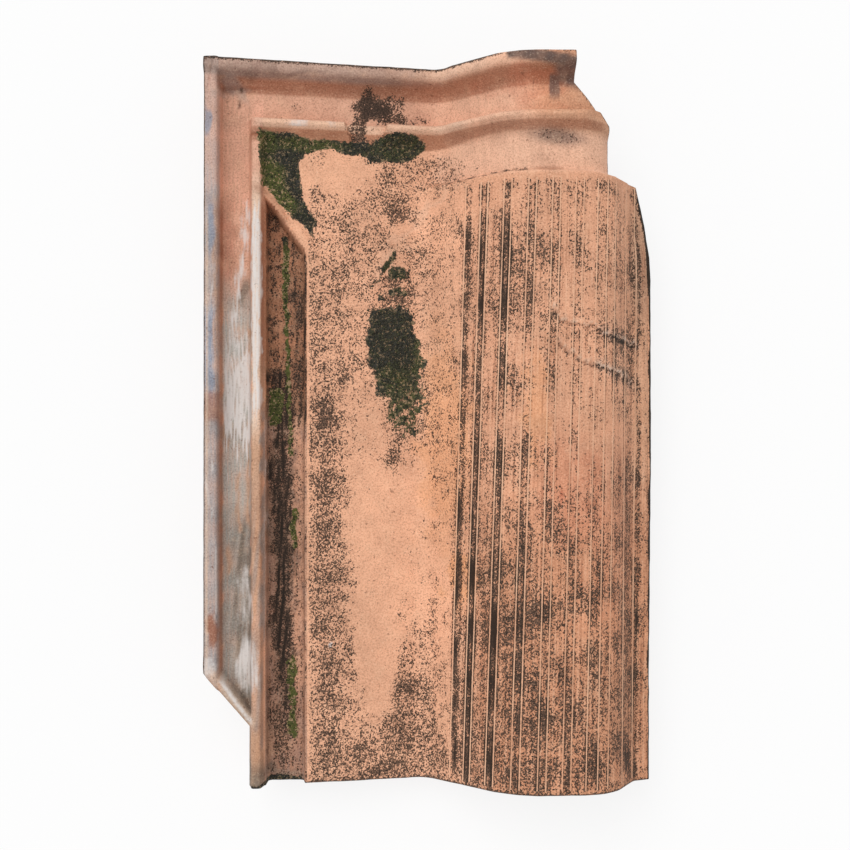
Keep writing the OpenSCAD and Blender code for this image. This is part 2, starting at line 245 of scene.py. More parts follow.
def under_line(pan_sunk, roll_sunk, edge_x, edge_z):
    """The lower face: every line of the section sunk by the clay's thickness."""
    p, r = pan_sunk + WALL_T, roll_sunk + WALL_T
    return rounded_line([
        (-1, LOCK_FLOOR - WALL_T, 0), (28, LOCK_FLOOR - WALL_T, 4), (35, DRAIN_FLOOR - WALL_T, 4),
        (DRAIN_RIGHT + 2, DRAIN_FLOOR - WALL_T, 4), (71, pan_z(71, p), 4),
        *roll_corners(p, r, VALLEY_R + WALL_T), (wall_x(edge_z, r), edge_z, 2), (edge_x, edge_z, 0)])


MAIN_UNDER = under_line(0, 0, TILE_W, FLANGE_BOTTOM)
NECK_UNDER = under_line(0, NECK_STEP, TILE_W, NECK_EDGE - WALL_T)
HEAD_UNDER = under_line(CHANNEL_DROP, NECK_STEP + CHANNEL_DROP, TILE_W,
                        NECK_EDGE - WALL_T - CHANNEL_DROP)


# Weather face

def inside(x, y):
    """Places kept inside the outline, with the flange drawn out where the tile is widest."""
    edge = np.interp(y, *RIGHT_EDGE.T)
    x = x + np.clip(edge - TILE_W, 0.0, None) * ramp(x, FLANGE_START, TILE_W)
    return np.clip(x, np.interp(y, *LEFT_EDGE.T), edge)


def comb_x(s, y):
    """Across the tile: columns s lean with the comb strokes, most on the roll's crest."""
    lean = np.interp(s, *COMB_LEAN.T)
    return inside(s - lean * (COMB_Y - np.clip(y, 0, COMB_END)) / COMB_RUN, y)


def drain_depth(x, y):
    """Share of the drain's depth: 1 along the channel and 0 past its slanting end."""
    return ramp(np.interp(x, *DRAIN_END) - y, 0.0, 4.0)


def head_face(x, y):
    """The head as two surfaces: its floor with the ribs round it, and the second rib."""
    line = height(RIB_LINE, x)
    run = np.linspace(0, TILE_W, 1061)
    rise = np.interp(x, run, np.hypot(1.0, np.gradient(height(RIB_LINE, run), run)))
    channel = line - CHANNEL_DROP * rise
    floor = np.where(x < DRAIN_RIGHT, under(np.full_like(x, LOCK_FLOOR), channel, 2.0), channel)
    face = over(floor, height(OUTER_RIB, x), 0.8)
    edge_rib = over(face, line + rise * np.interp(y, *HEAD_RIB.T), 0.8)
    slant = (SECOND_Y - y) * GAP_SLANT
    gap = window(x, GAP_LEFT + slant, GAP_RIGHT - slant, 1.5)
    second = line + rise * np.interp(y, *SECOND_RIB.T) - 40.0 * gap - 60.0 * ramp(29.5 - x, 0.0, 2.0)
    return edge_rib, under(second, RUN_OUT_Z - RUN_OUT_FALL * (x - RUN_OUT_X), 0.8)


def groove_place(s):
    """Place of a column in each groove: 0 in its middle, -1 and 1 at its edges."""
    start, end = COMB_GROOVES[:, 0], COMB_GROOVES[:, 1]
    return (s[..., None] - (start + end) / 2) / ((end - start) / 2)


def comb_relief(s, y):
    """Burrs as narrow bells and grooves as shallow troughs, both in the leaning column s."""
    burr = np.exp(-((s[..., None] - COMB_BURRS[:, 0]) / BURR_HALF) ** 2) * COMB_BURRS[:, 1]
    trough = np.clip(1.0 - groove_place(s) ** 2, 0.0, None) * COMB_GROOVES[:, 2]
    worn = 0.75 + 0.35 * wander(s * 2.0, y, 90.0, 5)
    return (burr.sum(-1) * worn - trough.sum(-1)) * window(y, 4, 353, 4)


def tear_share(x, y, half, first=0):
    """A bell of that half width about the drag marks' ragged lines, from their point first on."""
    y = y + 0.9 * wander(x, y, 4.5, 13)
    return highest([brush(x, y, points[first:], half) for points in TEARS])


def tears(x, y):
    """Drag marks across the roll: crumbs of clay along two strokes, with a furrow below each."""
    crumb = np.clip(0.35 + 1.2 * wander(x, y, 2.8, 11), 0.0, 1.4)
    return (1.1 * crumb * tear_share(x, y, 1.1) - 0.6 * tear_share(x, y + FURROW, 0.7)
            - 0.45 * spot(x, y, 229, 259, 24, 8, -14))


def corner_rib(x, y):
    """The outer rib's turn at the foot's corner, by distance from its middle line."""
    along = unit((x + 1.6) / 31.2)
    top = OUTER_RIB_TOP + (INNER_RIB_TOP - OUTER_RIB_TOP) * along
    return top + np.interp(stroke(x, y, CORNER_LINE), *CORNER_SIDE)


def slant_ridge(x, y):
    """The ridge at the drain's closed end: a round rib that widens downhill, with one break."""
    away = stroke(x, y, RIDGE_LINE)
    along = unit((x - 30) / 34)
    half = 2.2 + 1.6 * ramp(x, 47.4, 49.6)
    crown = np.sqrt(np.clip(1.0 - (away / half) ** 2, 0.0, None))
    broken = 1.0 - 0.75 * np.exp(-((x - 48.3 + 0.4 * (y - 336)) / 0.9) ** 2)
    return pan_z(x) + (4.2 - 2.6 * along) * crown * broken - 8.0 * np.clip(away - half, 0.0, None)


def edge_round(x, y):
    """Drop of the face at the outline: a small arc by distance from the nearest edge."""
    left = x - np.interp(y, *LEFT_EDGE.T)
    right = np.interp(y, *RIGHT_EDGE.T) - x
    near = np.minimum(np.minimum(left, right), np.minimum(y, TILE_L - y))
    r = 1.4 + 0.4 * wander(x, y, 14.0, 23)
    lack = np.clip(r - near, 0.0, r)
    return r - np.sqrt(np.clip(r * r - lack * lack, 0.0, None))


def weather_face(s, y):
    """Place x and height of the weather face in column s: section, ribs, marks and wear."""
    x = comb_x(s, y)
    main, neck = height(MAIN_LINE, x), height(NECK_LINE, x)
    step_y = NECK_Y - 0.6 + 1.2 * np.sin((x - 139) / 32.0)
    z = neck + (main - neck) * fall(y, step_y - 2.2, step_y + 1.8)
    drain = height(DRAIN_LINE, x)
    depth = drain_depth(x, y)
    z = np.where(depth > 0, z + (under(z, drain, 0.6) - z) * depth, z)
    near_ridge = window(x, 28, 72, 1) * window(y, 308, 364, 1)
    z = z + (over(z, slant_ridge(x, y), 0.7) - z) * near_ridge
    z = np.where((x < 36) & (y < 84), over(z, corner_rib(x, y), 0.6), z)
    z = z + comb_relief(s, y) + tears(x, y)
    z = z - 1.5 * spot(x, y, 116, 262, 20, 62, -6, 0.35) * ramp(x + 0.55 * y, 243, 262)
    edge_rib, second = head_face(x, y)
    z = z + (edge_rib - z) * ramp(y, SECOND_Y - 0.6, SECOND_Y + 0.6)
    z = over(z, second, 0.5)
    z = z - 0.9 * brush(x, y, HEAD_CRACK, 0.5)
    z = z - 1.2 * np.exp(-((y - 218) / 1.0) ** 2) * (x < 9)
    z = z - 1.0 * brush(x, y, RIB_NICK, 0.8)
    for cx, cy in CHIPS:
        z = z - 0.7 * spot(x, y, cx, cy, 1.6, 2.2)
    wear = 0.22 * wander(x, y, 46.0, 3) + 0.1 * wander(x, y, 11.0, 4) + 0.05 * wander(x, y, 4.0, 6)
    return x, z + wear - edge_round(x, y)


def lower_face(x, y):
    """Height of the lower face: sunk sections that run together, lugs and foot rib."""
    z = height(MAIN_UNDER, x)
    z = z + (height(NECK_UNDER, x) - z) * ramp(y, 349, 358)
    z = z + (height(HEAD_UNDER, x) - z) * ramp(y, 393, 398)
    z = z + 0.15 * wander(x, y, 30.0, 8)
    for x0, x1, y0, y1 in RESTS:
        z = np.where((x >= x0) & (x <= x1) & (y >= y0) & (y <= y1), FOOT_LEVEL, z)
    return z


# Growth, stains and painted shade, as shares from 0 to 1 over the weather face

def srgb(r, g, b):
    """A colour written as it is seen, in 0 to 255, as linear light."""
    c = np.array((r, g, b)) / 255.0
    return np.where(c <= 0.04045, c / 12.92, ((c + 0.055) / 1.055) ** 2.4)


def ragged(x, y, reach, seed):
    """Places shifted by slow unevenness, so that the edges of stains run ragged."""
    return (x + reach * wander(x, y, 17.0, seed) + 0.5 * reach * wander(x, y, 6.0, seed + 1),
            y + 1.3 * reach * wander(x, y, 19.0, seed + 2))


def streak(x, y, size, seed):
    """Unevenness from 0 to 1, drawn out along the tile into streaks of about that width."""
    return unit(0.5 + 0.5 * wander(x * 3.0, y * 0.28, size * 3.0, seed))


def patch(x, y, outline, soft):
    """1 inside a closed outline and 0 outside it, by the distance from its line."""
    p = np.asarray(outline, float)
    q = np.roll(p, -1, axis=0)
    crossed = (p[:, 1] > y[..., None]) != (q[:, 1] > y[..., None])
    rise = np.where(q[:, 1] == p[:, 1], 1e-9, q[:, 1] - p[:, 1])
    at = p[:, 0] + (y[..., None] - p[:, 1]) * (q[:, 0] - p[:, 0]) / rise
    side = (crossed & (x[..., None] < at)).sum(-1) % 2 * 2 - 1
    return unit(0.5 + side * stroke(x, y, np.vstack((p, p[:1]))) / soft)


def burr_gap(s, y):
    """Distance of a column from the nearest comb burr, in mm."""
    gap = np.abs(s[..., None] - COMB_BURRS[:, 0]).min(-1)
    return np.where((s > 150) & (y > 2) & (y < 355), gap, 9.0)


def groove_share(s):
    """How dark the comb's grooves are: each groove's own share, soft at its edges."""
    within = unit(1.3 - np.abs(groove_place(s)) ** 3)
    return (within * COMB_GROOVES[:, 3]).max(-1)


def combed_share(s, x, y):
    """1 on the combed face of the roll and 0 elsewhere."""
    return ramp(s, 150, 154) * window(y, 5, 350, 4) * fall(x, 265.5, 267)


def line_share(s, y):
    """How dark the lines beside the burrs are, falling across the roll, uneven along it."""
    across = np.interp(s, (150, 158, 182, 200, 225, 245, 258), (0.5, 1.0, 0.9, 0.65, 0.6, 0.6, 0.8))
    return unit(across * (0.75 + 0.45 * wander(s * 2.0, y, 55.0, 74)))


# Lines and outlines on the face as (x, y): the hollow's rim, the drain's dark stains and its painted
# shade
HOLLOW_RIM = [(99, 292), (103.7, 306), (109.8, 318.3), (119, 330.2), (131.2, 343.7), (142.8, 352.7)]
DRAIN_STAIN = [(36.5, 247), (48, 249), (50.5, 205), (51.5, 150), (50.5, 70), (50, 30), (42, 30),
               (40.5, 80), (38.5, 130), (36.5, 160), (36.5, 214)]
DRAIN_SHADE = [(50, 332), (58.5, 314), (59, 216), (53, 216), (49.5, 250)]

# Spots that raise or thin the lichen, as (gain, x, y, reach across, reach along), and on the pan the
# soft share of their edge
PAN_LICHEN = [
    (-0.4, 77, 364, 25, 13, 0.5), (-0.13, 140, 290, 16, 74, 0.5), (0.1, 73, 110, 13, 104, 0.3),
    (-0.44, 101, 125, 16, 100, 0.4), (-0.22, 124, 150, 13, 60, 0.5), (0.15, 124, 40, 18, 26, 0.5),
    (-0.14, 92, 228, 14, 18, 0.5), (0.17, 100, 10, 46, 18, 0.5), (0.08, 68, 205, 6, 130, 0.6),
    (-0.26, 144, 110, 6, 112, 0.5), (-0.08, 128, 150, 12, 70, 0.5), (0.27, 116, 343, 9, 11, 0.7),
    (0.28, 115, 299, 9, 12, 0.6), (0.26, 113, 199, 13, 11, 0.7), (0.26, 78, 303, 5, 5, 0.6),
    (0.26, 84, 240, 5, 9, 0.6), (0.3, 71, 221, 5, 8, 0.6), (0.2, 80, 290, 6, 5, 0.6),
    (0.12, 74, 26, 10, 10, 0.6)]
ROLL_LICHEN = [
    (0.16, 178, 100, 24, 40), (0.15, 196, 26, 60, 24), (0.16, 180, 300, 20, 36),
    (-0.16, 225, 205, 34, 34), (-0.18, 192, 225, 10, 40), (0.18, 246, 248, 10, 20),
    (-0.2, 160, 345, 26, 9), (0.06, 205, 60, 40, 30)]


def pan_lichen(x, y, u, v):
    """Lichen on the pan: a level with soft spots, thin along the hollow's rim."""
    level = 0.47 + 0.07 * wander(x, y, 24.0, 63)
    for gain, cx, cy, rx, ry, soft in PAN_LICHEN:
        level = level + gain * spot(u, v, cx, cy, rx, ry, 0.0, soft)
    level = level - 0.22 * brush(u, v, HOLLOW_RIM, 4.0)
    return window(x, 62, 147, 2.5) * fall(y, 374, 382) * level


def roll_lichen_and_shade(s, x, y, u, v):
    """Lichen on the roll: a streaky level with soft spots, broken lines in the grooves, and tears;
    painted shadow in the furrows below the tears.
    """
    field = 0.36 - 0.05 * ramp(s, 196, 214) + 0.12 * fall(v, 120, 235)
    field = field + 0.2 * (streak(x, y, 5.0, 71) - 0.5)
    field = field + 0.1 * wander(x, y, 26.0, 72)
    for gain, cx, cy, rx, ry in ROLL_LICHEN:
        field = field + gain * spot(u, v, cx, cy, rx, ry)
    long_gaps = 0.16 - 0.08 * (s < 182)
    broken = 0.38 + long_gaps * wander(s * 3.0, y, 60.0, 73) + 0.12 * wander(s * 3.0, y, 16.0, 75)
    field = field + groove_share(s) * np.clip(broken, 0.0, None) * window(y, 4, 350, 6)
    # Painted shadow as dark specks in the furrow below each tear, and fewer specks on the tears' lips
    field = field + 0.42 * tear_share(x, y + FURROW, 0.8) - 0.45 * tear_share(x, y, 1.3)
    field = field + 0.34 * tear_share(x, y, 3.6, 4)
    return ramp(x, 142, 148) * fall(y, 352, 358) * field * (1.0 - 0.25 * ramp(x, 260, 261.5))


def head_lichen_and_shade(x, y, u, v):
    """Lichen on the step's line, at the head and its gap, and on the neck; painted shade in front of
    the second rib.
    """
    step = brush(x, y, [(143, 358.6), (173, 360.4), (188, 361.0)], 1.6)
    step = step * (0.6 + 0.45 * wander(x, y, 4.0, 64))
    head = 0.98 * spot(u, v, 101, 406, 18, 10, 0, 0.6) + 0.55 * spot(u, v, 124, 400, 17, 4)
    gap = 0.74 * spot(u, v, 92, 391, 10, 11, 0, 0.3)
    # The neck's spot at the right, at (207, 380) in front of the second rib, is painted shade
    neck = (0.3 * spot(u, v, 53, 401, 12, 2.5) + 0.34 * spot(u, v, 148, 366, 12, 14)
            + 0.35 * spot(x, y, 207, 380, 17, 5.2, -6))
    return highest([step, head, gap, neck])


def edge_lichen_and_shade(x, y):
    """Dark lines along the outline: head, flange, neck, lock side and foot; at the flange, the neck and
    the foot they are painted shade of the edges' sides.
    """
    back = 0.95 * ramp(y, 426.0, 428.6) * (1.0 - 0.6 * ramp(x, 160, 180))
    rim = np.interp(y, *RIGHT_EDGE.T) - x + 0.4 * wander(x, y, 30.0, 77)
    rim = rim - 0.7 * window(y, 296, 338, 10)
    # Along the flange, the neck and the foot these dark lines are painted shade of the edges' shadowed
    # sides
    flange = 1.2 * fall(rim, 1.0, 1.7) * (y < 350)
    neck = 0.8 * fall(rim, 0.5, 1.3) * window(y, 359, 412, 1)
    side = 0.75 * fall(x, 0.5, 1.3)
    foot = 0.85 * fall(y, 0.6, 2.2) * window(x, 27, 262, 3)
    return highest([back, flange, neck, side, foot])


def drain_lichen_and_shade(x, y, u, v):
    """Black growth in the drain: streaky stains and strokes over a thin level; painted shade along its
    walls.
    """
    run = streak(x, y, 2.2, 78)
    # Painted shade as black specks: along the drain's wall by the pan, and in the creases at the foot
    # of both walls
    shade = 0.92 * patch(u, v, DRAIN_SHADE, 5.0) * (0.55 + 0.6 * run)
    black = highest([
        patch(u, v, DRAIN_STAIN, 6.0) * (0.76 + 0.36 * run),
        shade - 0.35 * spot(u, v, 55, 306, 4, 10) - 0.3 * spot(u, v, 54, 260, 4, 9),
        0.72 * brush(u, v, [(38.5, 338), (37, 289), (38.5, 250)], 1.9),
        1.1 * brush(x, v, [(58.8, 316), (58.8, 214)], 1.4) * (0.4 + 0.8 * run),
        0.8 * brush(x, v, [(58.4, 214), (58.4, 150)], 1.2) * run,
        0.55 * spot(u, v, 41, 100, 4, 70), 0.66 * spot(u, v, 46, 40, 10, 44)])
    drain = window(x, 36, 59.5, 0.6) * drain_depth(x, y)
    return drain * np.maximum(black, 0.22 + 0.28 * run)


def lichen_and_shade_cover(s, x, y):
    """Share of dark specks, of lichen and of painted shade: the highest of its shares on the parts of
    the face.
    """
    u, v = ragged(x, y, 3.0, 60)
    parts = [pan_lichen(x, y, u, v), roll_lichen_and_shade(s, x, y, u, v), head_lichen_and_shade(x, y, u, v),
             edge_lichen_and_shade(x, y), drain_lichen_and_shade(x, y, u, v)]
    return np.clip(highest(parts), 0.0, 1.2)


# Outlines of the moss mats
CORNER_MOSS = [
    (31.5, 389), (46, 386.5), (62, 384.5), (83, 384), (98, 384), (101, 386.5), (108.6, 389), (125, 389),
    (131.5, 385), (130.8, 381), (119.7, 374), (110, 373), (97.8, 372), (96, 376), (87, 376),
    (73.7, 379), (58.8, 377), (56.4, 372), (55.2, 360), (57.6, 348), (61.1, 341), (65.3, 334),
    (64, 326), (57, 333), (51, 338), (45, 344), (39, 350), (34, 356), (33, 364)]
HOLLOW_MOSS = [
    (97.7, 283), (109.8, 284), (122.6, 284), (124.4, 274), (126.9, 265), (128.1, 258), (131, 252),
    (129.2, 238), (134, 231), (132.8, 224), (128.6, 213), (126.7, 204), (118.8, 205), (108.5, 210),
    (107.3, 220), (103.6, 231), (101.2, 240), (97.6, 251), (95.8, 262), (97, 274)]
MOSS_PAD = [(37, 236), (44.5, 235), (46, 226), (43, 213), (37, 214)]

# Moss in the drain, as (start, end, half width, share)
DRAIN_MOSS = [((46.9, 326), (46.9, 277), 2.3, 0.9), ((47.2, 277), (49.6, 195), 2.0, 0.72),
              ((51.7, 162), (51.7, 140), 2.3, 0.9), ((50.6, 72), (51.1, 28), 3.6, 0.75)]

# Where the moss is green, as (share, x, y, reach across, reach along) and a turn if it slants
GREEN_SPOTS = [
    (0.85, 38, 359, 10, 15), (0.85, 46, 348, 12, 6, -46), (0.7, 36, 381, 9, 9),
    (0.6, 58, 381, 26, 5), (0.28, 115, 381, 20, 9), (0.36, 118, 224, 15, 22),
    (0.35, 127, 250, 5, 18), (0.35, 112, 242, 12, 9), (0.22, 116, 300, 8, 12),
    (0.3, 109, 312, 5, 7)]


def moss_cover(x, y):
    """Share of moss: outlined mats, clumps, and strokes in the drain."""
    u, v = ragged(x, y, 0.8, 80)
    corner = patch(u, v, CORNER_MOSS, 5.0)
    hollow = patch(*ragged(u, v, 1.2, 84), HOLLOW_MOSS, 8.0)
    thin = 0.44 * ramp(244 - v + 0.6 * (x - 112), -4, 26)
    hollow = hollow * (1.0 - thin + 0.12 * wander(x, y, 4.0, 88))
    clumps = highest([
        0.62 * spot(u, v, 114.5, 305, 8.5, 5.0), 0.62 * spot(u, v, 115, 294, 8.5, 4.4),
        0.55 * spot(u, v, 104, 291, 4, 3)])
    rim = np.maximum(0.95 * brush(u, v, [(112.9, 318), (109.2, 312), (105.6, 307)], 1.9),
                     0.55 * brush(u, v, [(105, 306), (99.5, 296)], 1.8))
    drain = [share * brush(u, v, (a, b), half) for a, b, half, share in DRAIN_MOSS]
    pad = 0.85 * patch(u, v, MOSS_PAD, 4.0)
    foot = 0.75 * window(u, 28, 56, 2.0) * fall(v, 1.0, 5.0)
    return unit(highest([corner, hollow, clumps, rim, *drain, pad, foot]))


def moss_green(x, y):
    """How green the moss is: bright in the drain and by the lock corner, near black elsewhere."""
    drain = 0.95 * window(x, 36, 57, 2) * window(y, 20, 318, 8)
    spots = [share * spot(x, y, *place) for share, *place in GREEN_SPOTS]
    brown = 0.3 * spot(x, y, 45, 374, 8, 5)
    green = highest([drain, *spots]) - brown
    return unit(green + 0.1 * wander(x, y, 7.0, 90))


def lime_cover(x, y):
    """Share of white lime bloom: in the lock, on the ribs' crests and at the foot's corner."""
    u, v = ragged(x, y, 1.2, 100)
    run = streak(x, y, 3.0, 103)
    fine = streak(x, y, 1.4, 105)
    ends = v + 34.0 * (fine - 0.5) + 20.0 * (run - 0.5)
    middle = window(x, 12.0, 26.0, 2.5) * window(ends, 212, 258, 18)
    middle = middle * (0.36 + 0.36 * run + 0.42 * fine)
    trail = brush(u, v, [(24.5, 345), (22.5, 317), (20.3, 296), (17, 284), (16, 262)], 4.2)
    trail = trail * (0.22 + 0.62 * streak(x, y, 1.6, 104))
    crest = window(u, 28.4, 32.8, 1.3) * window(v, 226, 333, 22) * (0.5 + 0.42 * fine)
    wash = 0.62 * spot(u, v, 25.5, 69, 9, 18) + 0.34 * spot(u, v, 24, 98, 8, 36)
    wash = wash * (0.7 + 0.4 * fine) + 0.45 * spot(u, v, 23.3, 116, 4, 22) * run
    beside = 0.42 * window(u, 34.5, 37.5, 1.0) * window(v, 120, 222, 16) * run
    outer = 0.6 * brush(x, y, [(7.6, 142), (7.8, 104)], 0.9) + 0.55 * spot(u, v, 3, 72, 5, 9)
    outer = outer + 0.45 * spot(u, v, 4, 292, 3, 40) * run + 0.5 * spot(u, v, 4, 178, 2.5, 26) * run
    corner = 0.75 * brush(x, y, [(10, 64), (18.5, 51.5), (27.7, 39)], 1.7)
    second = 0.62 * window(y, 390.6, 394.2, 0.8) * window(x, 38, 80, 4)
    second = second * (0.5 + 0.5 * wander(x, y, 14.0, 108))
    wash = wash + 0.95 * spot(x, y, 73.8, 81.5, 1.4, 1.6)
    head = 0.22 * window(y, 422, 428, 1.0) * window(x, 8, 150, 10)
    head = head * (0.5 + 0.5 * wander(x, y, 20.0, 109))
    parts = [middle, trail, crest, wash, beside, outer, corner, second, head]
    return unit(highest(parts))


# Tones of the clay, of its stains and of painted shade, as seen
CLAY_TONES = {
    "pan": (236, 179, 145), "roll": (222, 164, 131), "low": (209, 147, 112), "neck": (233, 184, 155),
    "head": (216, 166, 140), "lock": (226, 172, 146), "glow": (240, 166, 108), "red": (192, 106, 78),
    "rust_and_shade": (154, 97, 70), "sage": (178, 177, 170), "umber": (120, 109, 97), "ash": (152, 142, 136),
    "lilac": (163, 161, 162), "slate": (144, 150, 164), "tan": (196, 150, 119), "dun": (188, 146, 120),
    "soot": (76, 52, 44), "pale": (222, 192, 168), "drain": (186, 128, 96), "mould_and_shade": (98, 86, 70),
    "smoke_and_shade": (90, 77, 74)}

# Painted shade on the drain's floor, beside the pan and beside the inner rib
SHADE_PAN_SIDE = [(49, 334), (60, 320), (60, 212), (52, 212), (49, 250)]
SHADE_RIB_SIDE = [(36, 345), (44, 338), (41, 250), (36, 250)]


def soot_cover(x, y):
    """Share of the kiln's smudge at the head's right end: a smear, its end and a short bar."""
    u, v = ragged(x, y, 0.8, 140)
    smear = fall(stroke(x, y, [(180, 427.8), (195, 425.6), (206, 424), (218, 421.5)]), 2.2, 4.6)
    end = 0.9 * patch(u, v, [(204, 424), (218, 424), (220, 410.5), (207, 412.5)], 5.0)
    bar = 0.85 * window(u, 203.0, 208.0, 1.5) * window(v, 404.5, 416.5, 2.0)
    uneven = 0.94 + 0.06 * wander(x, y, 9.0, 143)
    return unit(highest([smear, end, bar]) * uneven)


# Tan runs along the lock channel, as (start, end, half width, share)
LOCK_RUNS = [((25.6, 270), (25.4, 238), 1.5, 0.85), ((25.4, 216), (25.2, 152), 1.1, 0.7),
             ((12.2, 216), (12.0, 200), 1.4, 0.7), ((19.7, 186), (19.8, 150), 1.0, 0.7),
             ((13.3, 141), (13.3, 127), 1.6, 0.7)]


def lock_stains_and_shade(x, y):
    """Tones laid along the lock: sage and umber in the channel, lilac and slate on the outer rib, and
    painted shade on the ribs' flanks.
    """
    u, v = ragged(x, y, 1.0, 150)
    run, fine = streak(x, y, 3.0, 155), streak(x, y, 1.6, 156)
    channel = window(u, 10, 27.5, 1.2)
    outer = window(x, -2, 8.6, 0.8)
    return [
        ("lock", fall(x, 33.5, 35.0)),
        ("red", 0.35 * spot(u, v, 14, 322, 5, 30)),
        ("dun", channel * 0.5 * ramp(v, 268, 300) * fine),
        ("sage", channel * fall(v, 272, 312) * (0.62 + 0.36 * fine)),
        ("umber", channel * window(v, 44, 150, 18) * (0.3 + 0.55 * ramp(u, 14, 20))
         * (0.5 + 0.6 * run)),
        ("tan", sum(share * brush(u, v, (a, b), half) for a, b, half, share in LOCK_RUNS)),
        ("umber", 0.75 * spot(u, v, 23.2, 292, 3.2, 9)),
        ("lilac", outer * (0.85 - 0.45 * ramp(v, 330, 400)) * (0.75 + 0.35 * fine)),
        ("slate", outer * 0.95 * window(v, 234, 276, 12) * ramp(6.5 + 2.0 * fine - x, 0.0, 2.5)),
        ("slate", 0.8 * spot(u, v, 2, 392, 2.6, 10) + 0.9 * spot(u, v, 3.4, 328, 3.2, 19)),
        ("tan", outer * 0.5 * window(v, 256, 335, 14) * np.exp(-((u - 7.0) / 1.3) ** 2)),
        ("rust_and_shade", 0.6 * outer * window(v, 217, 230, 5)),
        ("rust_and_shade", 0.85 * spot(u, v, 5.4, 93, 3.6, 11, 0, 0.35)),
        ("rust_and_shade", 0.7 * brush(x, y, RIB_NICK, 1.0)),
        # Painted shade on the outer rib's inner flank
        ("rust_and_shade", 0.7 * np.exp(-((x - 9.5) / 1.0) ** 2) * window(y, 62, 335, 20)),
        ("pale", 0.7 * np.exp(-((x - 2.2) / 0.6) ** 2) * window(y, 70, 330, 20)),
        ("pale", 0.85 * window(x, 28.4, 33, 0.8) * window(v, 190, 345, 24)),
        ("tan", 0.85 * window(x, 28, 33.6, 0.8) * window(v, 108, 196, 18)),
        ("dun", 0.85 * window(x, 28, 34, 0.8) * fall(v, 88, 108)),
        ("ash", 0.6 * window(x, 28, 34, 0.8) * fall(v, 140, 205) * run),
        # Painted shade on the inner rib's flank toward the drain
        ("rust_and_shade", 0.7 * window(x, 33.6, 36.4, 0.7) * window(v, 250, 338, 10)),
        ("dun", 0.8 * window(x, 33.2, 36.6, 0.7) * window(v, 216, 246, 10)),
        ("ash", 0.85 * window(u, 33.8, 38.0, 0.9) * window(v, 92, 214, 12)),
        ("pale", 0.6 * fall(stroke(x, y, [(5, 68), (27.7, 39)]), 1.5, 4.0)),
        ("tan", 0.65 * fall(stroke(x, y, [(4, 62), (26, 36)]), 0.8, 2.4)),
        ("tan", 0.8 * window(u, 26, 33.5, 1.2) * fall(v, 30, 38)),
        ("umber", 0.8 * window(u, 25, 36, 1.5) * fall(v, 6, 18)
         + 0.6 * window(x, 25.5, 27.2, 0.5) * (y < 34)),
        ("umber", 0.85 * fall(x, 0.5, 1.5))]


